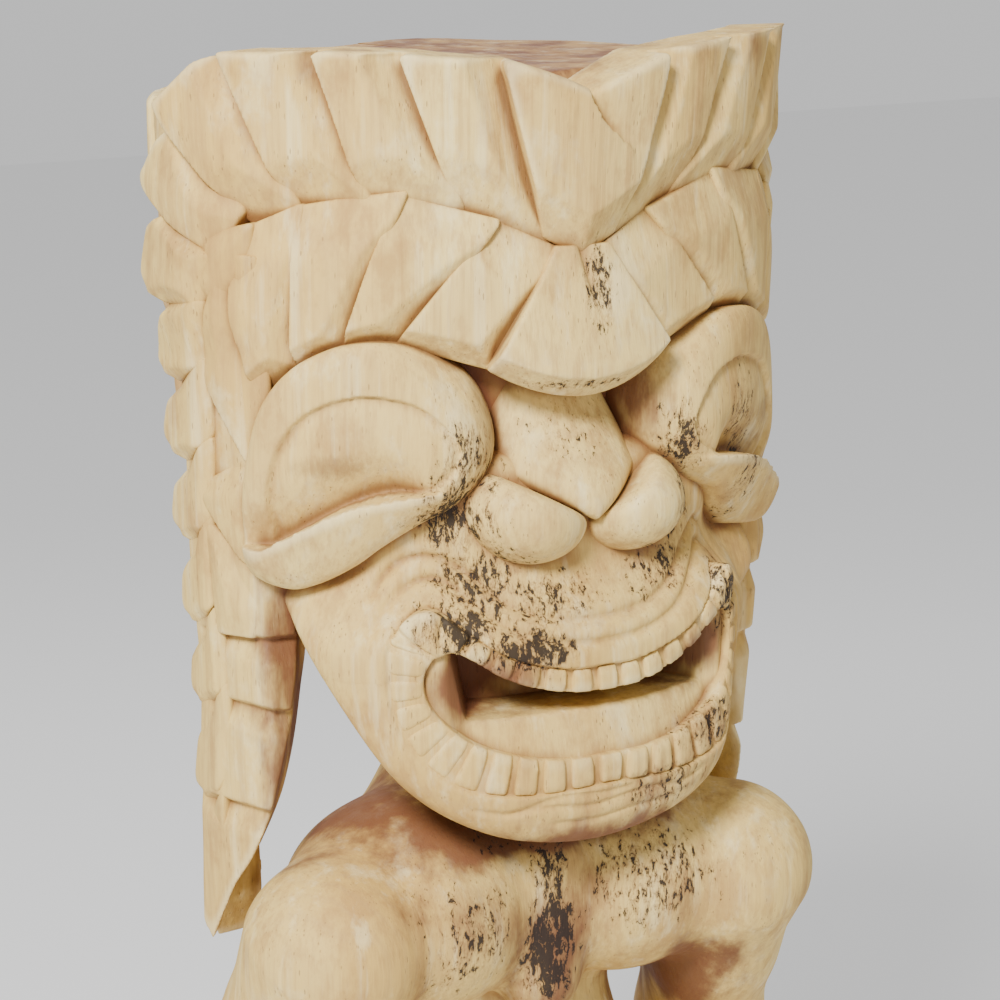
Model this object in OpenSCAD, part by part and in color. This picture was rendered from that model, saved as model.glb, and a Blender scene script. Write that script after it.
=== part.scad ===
// Carved wooden tiki figure, standing on a base of the same log.
// Frame: +Z up, the figure faces -Y, its right hand is on -X, and the origin
// is the centre of the base's underside. Lengths are in millimetres and are
// written for a figure 1000 high, which figure_h scales as a whole.

/* [Figure] */
// Height of the whole figure, from the floor to the tips of the crown
figure_h = 1000; // [400:10:2000]
// Half width of the log that the head is cut from
log_a = 186; // [176:1:196]
// Half depth of the log that the head is cut from
log_b = 146; // [136:1:149]
// Side count of the round forms
facets = 14; // [10:2:20]

/* [Headdress] */
// Thickness of the crown petals, measured into the log
crown_t = 34; // [28:1:40]
// Thickness of the brow petals, which stand out over the eyes
brow_t = 40; // [30:1:50]
// Height of the crown petals' tips above the floor
crown_top = 1000; // [990:1:1010]
// Number of crown petals round the back, on each side
back_petals = 6; // [4:1:8]
// How far the back of the headdress is set in from the log's surface
back_inset = 22; // [18:1:26]
// Number of flutes in the mane at the back of the head
flutes = 9; // [5:2:13]

/* [Lappets] */
// Half width of the lappets at the headdress
lappet_top_x = 186; // [180:1:190]
// Half width of the lappets at their tips
lappet_tip_x = 165; // [158:1:175]
// Height of the lappets' tips above the floor
lappet_tip_z = 537; // [500:1:560]
// Number of leaves down the outer edge of each lappet
leaves = 8; // [6:1:10]

/* [Mouth] */
// Number of upper teeth
upper_count = 13; // [9:2:17]
// Number of lower teeth, which run on round the corners of the mouth
lower_count = 17; // [13:2:21]
// Width of the cut between two teeth
tooth_gap = 2.2; // [1:0.1:4]

/* [Base] */
// Half width of the base
base_a = 180; // [165:1:188]
// Half depth of the base
base_b = 150; // [140:1:160]
// Height of the base
base_h = 58; // [40:1:62]

/* [Hidden] */

pale = [0.86, 0.77, 0.60];
cream = [0.91, 0.84, 0.70];
tan_wood = [0.76, 0.62, 0.43];
brown = [0.52, 0.33, 0.20];

// Angles from the front, in degrees, of the crown petals' edges: tips and feet
crown_tip_deg = [15, 31, 47, 64, 79, 87];
crown_foot_deg = [6.5, 25.5, 39.5, 54, 66, 72];
// Heights of the petals' tips below the crown's top, and of their feet
crown_tip_fall = [3, 1, 1, 2, 28, 72];
crown_foot_z = [909, 931, 932, 925, 910, 894];
// The same for the brow petals below it
brow_tip_deg = [4.6, 20, 35, 51, 65];
brow_foot_deg = [16, 32, 45, 55, 63];
brow_tip_z = [903, 917, 927, 920, 900];
brow_foot_z = [847, 862, 862, 850, 826];

edge_fall = 4;      // how far a petal's face falls towards its outer edge
back_from = 84;     // angle from the front at which the back of the crown starts
back_top = 972;     // height of the back petals' tips
back_foot = 919;    // height of the back petals' feet
mouth_reach = 170;  // how far forward the mouth's flat shapes are drawn out
muzzle_c = [0, -62, 672];
muzzle_r = [126, 86, 76];
muzzle_top_c = [0, -72, 716];
muzzle_top_r = [118, 76, 44];
fine = 10;          // side count of fingers, toes and flutes
step = 6;           // spacing of the points along a drawn curve

// ---------------------------------------------------------------- helpers

// Scales a finished region to the figure's height and colours it
module carved(shade) color(shade) scale(figure_h / 1000) children();

// A round swelling
module egg(c, r, turn = [0, 0, 0])
    hull() translate(c) rotate(turn) scale(r) sphere(r = 1, $fn = facets);

// A limb through a row of round sections, each [x, y, z, radius]
module limb(row)
    for (i = [0 : len(row) - 2])
        hull() {
            translate([row[i].x, row[i].y, row[i].z])
                sphere(r = row[i][3], $fn = facets);
            translate([row[i + 1].x, row[i + 1].y, row[i + 1].z])
                sphere(r = row[i + 1][3], $fn = facets);
        }

// A thin level slice of an oval column: [z, centre y, half width, half depth]
module slice(s)
    translate([0, s[1], s[0]])
        linear_extrude(height = 0.01)
            polygon([for (k = [0 : 27]) [s[2] * cos(k * 360 / 28), s[3] * sin(k * 360 / 28)]]);

// An upright column through such slices
module column(slices)
    for (i = [0 : len(slices) - 2])
        hull() {
            slice(slices[i]);
            slice(slices[i + 1]);
        }

// A point at an angle from the front, set in from the log's surface
function skin(deg, z, inset = 0) =
    [(log_a - inset) * sin(deg), -(log_b - inset) * cos(deg), z];

// A petal between two edges, each [tip, foot] as [angle, height], from an outer inset to an inner
module petal(edge_a, edge_b, outer, inner)
    hull()
        for (inset = [outer, inner]) {
            for (p = edge_a)
                translate(skin(p[0], p[1], inset)) cube(0.4, center = true);
            for (p = edge_b)
                translate(skin(p[0], p[1], inset + edge_fall)) cube(0.4, center = true);
        }

module both_sides() {
    children();
    mirror([1, 0, 0]) children();
}

// ---------------------------------------------------------- head and neck

module head_shape()
    column([[984, 0, 134, 102], [952, 0, 152, 112], [900, 0, 152, 112], [860, 0, 150, 108],
        [820, 2, 148, 104], [780, 4, 140, 100], [745, 5, 128, 94], [715, 5, 112, 86],
        [690, 4, 96, 74], [660, 3, 84, 64], [630, 0, 76, 58]]);

// The muzzle's mass, or the same shape a little smaller all round
module muzzle_skin(inset) hull() {
    egg(muzzle_c, muzzle_r - [inset, inset, inset]);
    egg(muzzle_top_c, muzzle_top_r - [inset, inset, inset]);
}

module muzzle_shape() muzzle_skin(0);

module neck_shape()
    column([[641, -13, 55, 49], [619, -14, 53, 47], [603, -13, 58, 50], [586, -12, 70, 56]]);

module head_log() carved(cream) head_shape();

module neck() carved(brown)
    difference() {
        neck_shape();
        head_shape();
        muzzle_shape();
        chest_shape();
    }

// Rounded flutes that hang down the back of the head and end in a point
module back_mane() carved(tan_wood)
    difference() {
        for (i = [0 : flutes - 1]) {
            a = 180 + (i - (flutes - 1) / 2) * 13.5;
            low = 716 + 5.2 * pow(abs(i - (flutes - 1) / 2), 1.6);
            hull() {
                translate(skin(a, 918, back_inset + 16)) sphere(r = 17, $fn = fine);
                translate(skin(a, 820, back_inset + 18)) sphere(r = 17, $fn = fine);
                translate(skin(a, low, back_inset + 30)) sphere(r = 12, $fn = fine);
            }
        }
        head_shape();
        translate([0, 0, 916]) linear_extrude(height = 60) square(500, center = true);
    }

// ------------------------------------------------------------------ mouth

// Height of the upper teeth's cutting edge, and of the gum line above it
function bite(x) = 679 + 0.0030 * x * x;
function gum(x) = 693 + 0.0026 * x * x;
// A rounded trough below the mouth: half width, depth below its own rim, rim height
function trough(x, w, d, rim) = rim - d * pow(max(0, 1 - pow(abs(x) / w, 2.6)), 0.42);
function lip_in(x) = trough(x, 99, 54, 702);
function lip_out(x) = trough(x, 115, 74, 706);

module profile(points)
    rotate([90, 0, 0])
        linear_extrude(height = mouth_reach) polygon(points);

// The band between the gum line and the cutting edge, and the lower band
module upper_band() profile(concat(
    [for (x = [-102 : step : 102]) [x, gum(x)]],
    [for (x = [102 : -step : -102]) [x, bite(x)]]));

module lower_band() profile(concat(
    [for (x = [-114 : step : 114]) [x, lip_out(x)]],
    [for (x = [96 : -step : -96]) [x, lip_in(x)]]));

// Everything inside the two bands: the open mouth with the tongue in it
module mouth_inside() profile(concat(
    [for (x = [-96 : step : 96]) [x, lip_in(x)]],
    [for (x = [96 : -step : -96]) [x, bite(x)]]));

module above_gum() profile(concat(
    [for (x = [-102 : step : 102]) [x, gum(x)]], [[150, 740], [150, 800], [-150, 800], [-150, 740]]));

module cuts(count, half_w, z0)
    for (i = [0 : count]) {
        x = half_w * sin(-80 + 160 * i / count);
        translate([x, -110, z0])
            rotate([0, 24 * x / half_w, 0])
                cube([tooth_gap, 120, 60], center = true);
    }

module upper_teeth() carved(cream)
    difference() {
        intersection() {
            muzzle_skin(3);
            upper_band();
        }
        head_shape();
        cuts(upper_count, 100, 690);
        muzzle_skin(22);
    }

module lower_teeth() carved(cream)
    difference() {
        intersection() {
            muzzle_skin(3);
            lower_band();
        }
        head_shape();
        cuts(lower_count, 112, 652);
        muzzle_skin(20);
        upper_band();
    }

module upper_lip() carved(pale)
    difference() {
        muzzle_shape();
        head_shape();
        nose_shape();
        both_sides() nostril_shape();
        both_sides() eye_shape();
        difference() {
            union() {
                mouth_inside();
                upper_band();
                lower_band();
                translate([-200, -200, 500]) cube([400, 400, 210]);
            }
            above_gum();
        }
    }

module lower_jaw() carved(pale)
    difference() {
        muzzle_shape();
        head_shape();
        above_gum();
        upper_band();
        mouth_inside();
        difference() {
            lower_band();
            muzzle_skin(20);
        }
        both_sides() eye_shape();
    }

// Sloped slab that fills the floor of the mouth behind the lower teeth
module tongue() carved(tan_wood)
    difference() {
        intersection() {
            muzzle_skin(14);
            mouth_inside();
            translate([-110, -150, 600]) rotate([9, 0, 0]) cube([220, 200, 74]);
        }
        head_shape();
    }

// ---------------------------------------------------------- eyes and nose

module eye_shape()
    hull() {
        egg([-88, -98, 812], [46, 36, 41]);
        egg([-128, -76, 798], [40, 34, 42]);
        egg([-158, -52, 762], [22, 24, 26]);
    }

module nose_shape()
    hull() {
        egg([0, -116, 826], [26, 26, 12]);
        egg([0, -112, 798], [42, 34, 24]);
        egg([0, -118, 776], [18, 28, 12]);
    }

module nostril_shape() egg([-31, -118, 768], [31, 31, 22], [0, 8, 0]);

module eye_region() difference() {
    eye_shape();
    head_shape();
    nose_shape();
    nostril_shape();
    brow_mass();
}

module right_eye() carved(cream) eye_region();
module left_eye() carved(cream) mirror([1, 0, 0]) eye_region();

module nose_bridge() carved(cream)
    difference() {
        nose_shape();
        head_shape();
        both_sides() nostril_shape();
        brow_mass();
    }

module nostril_region() difference() {
    nostril_shape();
    head_shape();
    translate([0, -250, 700]) cube([100, 300, 160]);
}

module right_nostril() carved(cream) nostril_region();
module left_nostril() carved(cream) mirror([1, 0, 0]) nostril_region();

// -------------------------------------------------------------- headdress

module crown_centre()
    for (s = [-1, 1])
        hull()
            for (inset = [-2, crown_t]) {
                translate(skin(s * crown_tip_deg[0], crown_top - 3, inset)) cube(0.4, center = true);
                translate(skin(0, 981, inset + 3)) cube(0.4, center = true);
                translate(skin(s * crown_foot_deg[0], crown_foot_z[0], inset)) cube(0.4, center = true);
                translate(skin(0, 899, inset)) cube(0.4, center = true);
            }

function crown_edge(i) =
    [[crown_tip_deg[i], crown_top - crown_tip_fall[i]], [crown_foot_deg[i], crown_foot_z[i]]];

module crown_row()
    for (i = [0 : 4])
        petal(crown_edge(i), crown_edge(i + 1), 0, crown_t);

module brow_centre()
    hull()
        for (inset = [-2, brow_t]) {
            for (s = [-1, 1]) {
                translate(skin(s * brow_tip_deg[0], brow_tip_z[0], inset)) cube(0.4, center = true);
                translate(skin(s * brow_foot_deg[0], brow_foot_z[0], inset)) cube(0.4, center = true);
                translate(skin(s * brow_foot_deg[0] / 2, 836, inset)) cube(0.4, center = true);
            }
            translate(skin(0, 832, inset)) cube(0.4, center = true);
        }

function brow_edge(i) =
    [[brow_tip_deg[i], brow_tip_z[i]], [brow_foot_deg[i], brow_foot_z[i]]];

module brow_row()
    for (i = [0 : 3])
        petal(brow_edge(i), brow_edge(i + 1), 0, brow_t);

module brow_mass() {
    brow_centre();
    both_sides() brow_row();
}

module crown_region() difference() {
    crown_row();
    head_shape();
    crown_centre();
}

module brow_region() difference() {
    brow_row();
    head_shape();
    brow_centre();
    crown_row();
    crown_centre();
}

module crown_shield() carved(cream) difference() {
    crown_centre();
    head_shape();
}

module brow_shield() carved(cream) difference() {
    brow_centre();
    head_shape();
    crown_centre();
    both_sides() crown_row();
}

module left_crown() carved(cream) crown_region();
module right_crown() carved(cream) mirror([1, 0, 0]) crown_region();
module left_brow() carved(cream) brow_region();
module right_brow() carved(cream) mirror([1, 0, 0]) brow_region();

// Petals that carry the crown on round the back of the log
module back_crown() carved(cream)
    difference() {
        both_sides()
            for (i = [0 : back_petals - 1]) {
                w = (180 - back_from) / back_petals;
                a = back_from + i * w;
                petal([[a, back_top], [a, back_foot]], [[a + w, back_top], [a + w, back_foot]],
                    back_inset, back_inset + crown_t);
            }
        head_shape();
        both_sides() crown_row();
        both_sides() lappet_shape();
    }

// ---------------------------------------------------------------- lappets

function lappet_x(z) =
    lappet_tip_x + (lappet_top_x - lappet_tip_x) * (z - lappet_tip_z) / (918 - lappet_tip_z);

// One leaf of the scalloped outer edge, widest just above its foot
module leaf(z_tip, z_foot)
    hull() {
        x = lappet_x(z_foot);
        translate([x - 16, -42, z_tip]) cube([6, 52, 0.5]);
        translate([x - 2, -30, z_foot + 12]) cube([2, 34, (z_tip - z_foot) * 0.4]);
        translate([x - 26, -46, z_foot]) cube([14, 60, 0.5]);
    }

// One front block, from the braid's edge to the leaves: [z, inner x, outer x]
module lappet_block(hi, lo)
    hull()
        for (s = [hi, lo]) {
            translate([s[1], -76 + (s[1] - 120) * 0.35, s[0]]) cube([2, 76, 0.5]);
            translate([s[2] - 2, -48, s[0]]) cube([2, 56, 0.5]);
        }

module lappet_shape() {
    pitch = (918 - 600) / leaves;
    for (i = [0 : leaves - 1])
        leaf(920 - i * pitch + 2, 920 - (i + 1) * pitch);
    rows = [[880, 140, 172], [800, 128, 170], [705, 122, 167], [670, 126, 164],
        [612, 137, 160], [575, 150, 164], [lappet_tip_z, 163, 166]];
    for (i = [0 : len(rows) - 2])
        lappet_block(rows[i], rows[i + 1]);
}

module lappet_region() difference() {
    lappet_shape();
    head_shape();
    crown_row();
    brow_row();
    mirror([1, 0, 0]) eye_shape();
    muzzle_shape();
}

module left_lappet() carved(pale) lappet_region();
module right_lappet() carved(pale) mirror([1, 0, 0]) lappet_region();

// ------------------------------------------------------------------- body

module chest_shape() {
    hull() {
        egg([-56, -46, 546], [62, 64, 58]);
        egg([-30, -4, 556], [72, 60, 52]);
    }
    hull() {
        egg([56, -46, 546], [62, 64, 58]);
        egg([30, -4, 556], [72, 60, 52]);
    }
    column([[596, -14, 84, 60], [560, -10, 104, 70], [520, -8, 98, 66], [480, -10, 80, 60]]);
}

module belly_shape()
    column([[500, -12, 76, 58], [480, -12, 76, 60], [455, -18, 80, 70], [430, -24, 87, 80],
        [405, -26, 92, 84], [385, -22, 92, 80], [372, -18, 90, 72]]);

module hip_shape()
    column([[372, -8, 92, 72], [350, -4, 100, 76], [325, 0, 100, 74], [300, 2, 86, 66],
        [280, 2, 60, 52], [256, 0, 34, 40]]);

module upper_arm_shape()
    limb([[-118, -76, 545, 47], [-130, -54, 495, 38], [-143, -22, 432, 36]]);

module forearm_shape()
    limb([[-140, -28, 427, 33], [-129, -55, 403, 33], [-106, -86, 372, 28]]);

module hand_shape() {
    egg([-90, -98, 354], [30, 22, 26]);
    for (k = [-1.5 : 1 : 1.5])
        hull() {
            translate([-86 + k * 13, -112, 352]) sphere(r = 9, $fn = fine);
            translate([-76 + k * 12, -116, 314]) sphere(r = 7, $fn = fine);
        }
}

module thigh_shape()
    limb([[-60, 0, 320, 60], [-82, -40, 272, 58], [-96, -66, 228, 50]]);

module calf_shape()
    limb([[-96, -56, 214, 45], [-100, -12, 168, 49], [-95, 4, 122, 38], [-92, 8, 96, 33]]);

module foot_shape() {
    hull() {
        egg([-92, 22, 84], [34, 38, 30]);
        egg([-96, -66, 73], [42, 30, 18]);
    }
    for (k = [-2 : 2])
        hull() {
            translate([-96 + k * 16, -74, 72]) sphere(r = 12, $fn = fine);
            translate([-96 + k * 16, -100 + 4 * abs(k), 68]) sphere(r = 10, $fn = fine);
        }
}

module chest() carved(pale) difference() {
    chest_shape();
    muzzle_shape();
    head_shape();
}

module belly() carved(pale) difference() {
    belly_shape();
    chest_shape();
}

module loincloth() carved(tan_wood) difference() {
    hip_shape();
    belly_shape();
}

module upper_arm_region() difference() {
    upper_arm_shape();
    chest_shape();
    belly_shape();
    mirror([1, 0, 0]) lappet_shape();
}

module forearm_region() difference() {
    forearm_shape();
    upper_arm_shape();
    chest_shape();
    belly_shape();
    hip_shape();
}

module hand_region() difference() {
    hand_shape();
    forearm_shape();
    belly_shape();
    hip_shape();
    thigh_shape();
}

module thigh_region() difference() {
    thigh_shape();
    hip_shape();
    belly_shape();
    translate([0, -200, 100]) cube([200, 400, 400]);
}

module calf_region() difference() {
    calf_shape();
    thigh_shape();
}

module foot_region() difference() {
    foot_shape();
    calf_shape();
    translate([-300, -300, -1]) cube([600, 600, base_h + 1]);
}

module right_upper_arm() carved(pale) upper_arm_region();
module left_upper_arm() carved(pale) mirror([1, 0, 0]) upper_arm_region();
module right_forearm() carved(pale) forearm_region();
module left_forearm() carved(pale) mirror([1, 0, 0]) forearm_region();
module right_hand() carved(cream) hand_region();
module left_hand() carved(cream) mirror([1, 0, 0]) hand_region();
module right_thigh() carved(pale) thigh_region();
module left_thigh() carved(pale) mirror([1, 0, 0]) thigh_region();
module right_calf() carved(pale) calf_region();
module left_calf() carved(pale) mirror([1, 0, 0]) calf_region();
module right_foot() carved(cream) foot_region();
module left_foot() carved(cream) mirror([1, 0, 0]) foot_region();

// ------------------------------------------------------------------- base

// Plain oval drum with a flat underside
module base_plinth() carved(tan_wood)
    linear_extrude(height = base_h)
        polygon([for (k = [0 : 47]) [base_a * cos(k * 7.5), base_b * sin(k * 7.5)]]);

base_plinth();
right_foot();
left_foot();
right_calf();
left_calf();
right_thigh();
left_thigh();
loincloth();
belly();
chest();
right_upper_arm();
left_upper_arm();
right_forearm();
left_forearm();
right_hand();
left_hand();
neck();
head_log();
back_mane();
upper_lip();
lower_jaw();
upper_teeth();
lower_teeth();
tongue();
right_eye();
left_eye();
nose_bridge();
right_nostril();
left_nostril();
crown_shield();
right_crown();
left_crown();
back_crown();
brow_shield();
right_brow();
left_brow();
right_lappet();
left_lappet();
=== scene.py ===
"""Looks of a carved wooden tiki figure.

Every region of the carving is sculpted as a field of distances, in millimetres (negative inside the
wood), sampled on a block of points and turned into a closed quad mesh. x runs to the figure's left,
y backwards and z upwards, as in the CAD frame.
"""
import math
from types import SimpleNamespace

import bpy
import numpy as np
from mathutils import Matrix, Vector


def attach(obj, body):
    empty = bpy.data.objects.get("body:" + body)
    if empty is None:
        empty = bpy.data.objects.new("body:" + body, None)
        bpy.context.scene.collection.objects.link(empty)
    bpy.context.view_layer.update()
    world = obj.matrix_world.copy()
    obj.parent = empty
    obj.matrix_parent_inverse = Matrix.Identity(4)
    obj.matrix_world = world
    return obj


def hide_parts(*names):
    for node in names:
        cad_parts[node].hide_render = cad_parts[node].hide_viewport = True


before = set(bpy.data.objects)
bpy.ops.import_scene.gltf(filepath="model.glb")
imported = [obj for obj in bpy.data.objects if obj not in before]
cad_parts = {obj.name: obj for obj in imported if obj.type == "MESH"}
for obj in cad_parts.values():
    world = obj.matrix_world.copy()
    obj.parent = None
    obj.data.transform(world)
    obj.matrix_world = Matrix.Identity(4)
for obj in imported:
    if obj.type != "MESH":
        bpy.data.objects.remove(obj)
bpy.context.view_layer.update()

MM = 0.001
FINE = 1.2      # point spacing of the head's fields, mm
COARSE = 2 * FINE                      # point spacing of the body's fields, and of the whole figure's
LOG_A, LOG_B = 186.0, 146.0            # half width and half depth of the log the head is cut from
CROWN_TOP = 999.0                      # height of the crown petals' tips


# ------------------------------------------------------------------ fields

class Block:
    """A box of sample points on the lattice that the whole figure shares."""

    def __init__(self, low, high, step=FINE):
        self.step = step
        self.first = np.floor(np.array(low) / COARSE).astype(int) * int(round(COARSE / step))
        last = np.ceil(np.array(high) / COARSE).astype(int) * int(round(COARSE / step))
        axes = [np.arange(a, b + 1, dtype=np.float32) * step for a, b in zip(self.first, last)]
        self.x = axes[0][:, None, None]
        self.y = axes[1][None, :, None]
        self.z = axes[2][None, None, :]
        self.turn = np.arctan2(self.x / LOG_A, -self.y / LOG_B)
        self.s = arc_length(self.turn)
        self.e = oval_distance(self.x, self.y, LOG_A, LOG_B)


def arc_length(turn):
    """Length along the log's surface from the front centre to an angle, left positive."""
    return (LOG_A + LOG_B) / 2 * turn + (LOG_A - LOG_B) / 4 * np.sin(2 * turn)


def turn_at(s):
    """The angle at an arc length: arc_length undone by a few Newton steps."""
    t = s / ((LOG_A + LOG_B) / 2)
    for _ in range(6):
        t = t - (arc_length(t) - s) / ((LOG_A + LOG_B) / 2 + (LOG_A - LOG_B) / 2 * np.cos(2 * t))
    return t


def oval_distance(x, y, a, b):
    """Signed distance, near enough, to an upright oval with half sizes a and b."""
    k0 = np.sqrt((x / a) ** 2 + (y / b) ** 2)
    k1 = np.sqrt((x / a ** 2) ** 2 + (y / b ** 2) ** 2)
    return k0 * (k0 - 1) / np.maximum(k1, 1e-6)


def egg(g, centre, radii, lean=0.0):
    """Oval solid, leant in the x-z plane by an angle in degrees."""
    px, py, pz = g.x - centre[0], g.y - centre[1], g.z - centre[2]
    if lean:
        c, s = math.cos(math.radians(lean)), math.sin(math.radians(lean))
        px, pz = px * c - pz * s, px * s + pz * c
    k0 = np.sqrt((px / radii[0]) ** 2 + (py / radii[1]) ** 2 + (pz / radii[2]) ** 2)
    k1 = np.sqrt((px / radii[0] ** 2) ** 2 + (py / radii[1] ** 2) ** 2 + (pz / radii[2] ** 2) ** 2)
    return k0 * (k0 - 1) / np.maximum(k1, 1e-6)


def bone(g, a, b, ra, rb):
    """Round limb from a to b with a radius at each end."""
    ax, ay, az = (b[i] - a[i] for i in range(3))
    length2 = ax * ax + ay * ay + az * az
    px, py, pz = g.x - a[0], g.y - a[1], g.z - a[2]
    h = np.clip((px * ax + py * ay + pz * az) / length2, 0, 1)
    gap = np.sqrt((px - h * ax) ** 2 + (py - h * ay) ** 2 + (pz - h * az) ** 2)
    return gap - (ra + (rb - ra) * h)


def limb(g, row, blend=10.0):
    """Chain of bones through [x, y, z, radius] stations."""
    parts = [bone(g, a[:3], b[:3], a[3], b[3]) for a, b in zip(row, row[1:])]
    return melt(parts, blend)


def column(g, rows):
    """Upright oval column: rows of [z, centre y, half width, half depth], joined smoothly."""
    rows = np.array(sorted(rows), float)
    z = g.z.ravel()
    yc, a, b = (smooth_row(z, rows[:, 0], rows[:, i])[None, None, :] for i in (1, 2, 3))
    side = oval_distance(g.x, g.y - yc, a, b)
    return np.maximum(side, np.maximum(rows[0, 0] - g.z, g.z - rows[-1, 0])).astype(np.float32)


def smooth_row(z, knots, values):
    """Cubic curve through knots, with slopes that never overshoot."""
    rise = np.diff(values) / np.diff(knots)
    slope = np.zeros(len(values))
    same = rise[1:] * rise[:-1] > 0
    slope[1:-1][same] = 2 * rise[1:][same] * rise[:-1][same] / (rise[1:] + rise[:-1])[same]
    slope[0], slope[-1] = rise[0], rise[-1]
    z = np.clip(z, knots[0], knots[-1])
    i = np.clip(np.searchsorted(knots, z) - 1, 0, len(knots) - 2)
    h = knots[i + 1] - knots[i]
    t = (z - knots[i]) / h
    return (values[i] * (1 + 2 * t) * (1 - t) ** 2 + values[i + 1] * t * t * (3 - 2 * t)
            + slope[i] * h * t * (1 - t) ** 2 - slope[i + 1] * h * t * t * (1 - t)).astype(np.float32)


def blend2(a, b, k):
    """Union of two solids with their meeting line filled over a width k."""
    h = np.clip(0.5 + 0.5 * (b - a) / k, 0, 1)
    return b + (a - b) * h - k * h * (1 - h)


def melt(parts, k):
    """Union of solids whose meeting lines are filled over a width k."""
    total = parts[0]
    for p in parts[1:]:
        total = blend2(total, p, k)
    return total


def cut(solid, tool):
    """A solid with a tool's shape taken out of it."""
    return np.maximum(solid, -tool)


def meet(parts, k=0.0):
    """What all the parts share, with its edges rounded over a width k."""
    total = parts[0]
    for p in parts[1:]:
        total = -blend2(-total, -p, k) if k else np.maximum(total, p)
    return total


def ease(t):
    """Smooth step from 0 to 1."""
    t = np.clip(t, 0, 1)
    return t * t * (3 - 2 * t)


# ------------------------------------------------------ drawings on the log

def rounded(points, closed=True, parts=8):
    """Smooth line through given points."""
    p = np.array(points, float)
    n = len(p)
    out = []
    for i in range(n if closed else n - 1):
        a, b, c, d = (p[(i + k) % n] if closed else p[min(max(i + k, 0), n - 1)] for k in (-1, 0, 1, 2))
        for t in np.arange(parts) / parts:
            out.append(0.5 * (2 * b + (c - a) * t + (2 * a - 5 * b + 4 * c - d) * t * t
                              + (3 * b - a - 3 * c + d) * t ** 3))
    if not closed:
        out.append(p[-1])
    return np.array(out)


class Sheet:
    """A drawing in two coordinates, across and up, sampled every millimetre."""

    def __init__(self, u0=-4, u1=300, z0=500, z1=1010):
        self.u0, self.z0 = u0, z0
        self.u = np.arange(u0, u1 + 1, dtype=float)[:, None]
        self.z = np.arange(z0, z1 + 1, dtype=float)[None, :]

    def line(self, points):
        """Distance to an open line, and the share of its length at the nearest point."""
        best = np.full((self.u.size, self.z.size), 1e9)
        share = np.zeros_like(best)
        points = np.asarray(points, float)
        lengths = np.hypot(*(points[1:] - points[:-1]).T)
        done = np.concatenate([[0], np.cumsum(lengths)]) / lengths.sum()
        for (a, b, s0, s1) in zip(points, points[1:], done, done[1:]):
            d = b - a
            h = np.clip(((self.u - a[0]) * d[0] + (self.z - a[1]) * d[1]) / max(d @ d, 1e-9), 0, 1)
            gap = np.hypot(self.u - a[0] - h * d[0], self.z - a[1] - h * d[1])
            near = gap < best
            best = np.where(near, gap, best)
            share = np.where(near, s0 + (s1 - s0) * h, share)
        return best, share

    def outline(self, points):
        """Signed distance to a closed line, positive inside it."""
        points = np.asarray(points, float)
        gap, _ = self.line(np.vstack([points, points[:1]]))
        inside = np.zeros(gap.shape, bool)
        for a, b in zip(points, np.roll(points, -1, 0)):
            spans = (a[1] > self.z) != (b[1] > self.z)
            if a[1] != b[1]:
                inside ^= spans & (self.u < a[0] + (self.z - a[1]) * (b[0] - a[0]) / (b[1] - a[1]))
        return np.where(inside, gap, -gap)

    def above(self, points):
        """Signed height above an open line that runs across the sheet."""
        points = np.asarray(points, float)
        order = np.argsort(points[:, 0])
        gap, _ = self.line(points)
        level = np.interp(self.u.ravel(), points[order, 0], points[order, 1])[:, None]
        return np.where(self.z > level, gap, -gap)

    def on(self, g, drawing, across):
        """Reads a drawing at every point of a block; across is the block's own coordinate."""
        z = np.clip(g.z.ravel() - self.z0, 0, self.z.size - 1.001)
        k = z.astype(int)
        rows = drawing[:, k] * (1 - (z - k)) + drawing[:, np.minimum(k + 1, self.z.size - 1)] * (z - k)
        u = np.clip(across[..., 0] - self.u0, 0, self.u.size - 1.001)
        i = u.astype(int)
        w = (u - i)[..., None]
        return (rows[i] * (1 - w) + rows[i + 1] * w).astype(np.float32)


FACE = Sheet()


# ----------------------------------------------------------------- meshing

CORNERS = [(i, j, k) for i in (0, 1) for j in (0, 1) for k in (0, 1)]


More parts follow.
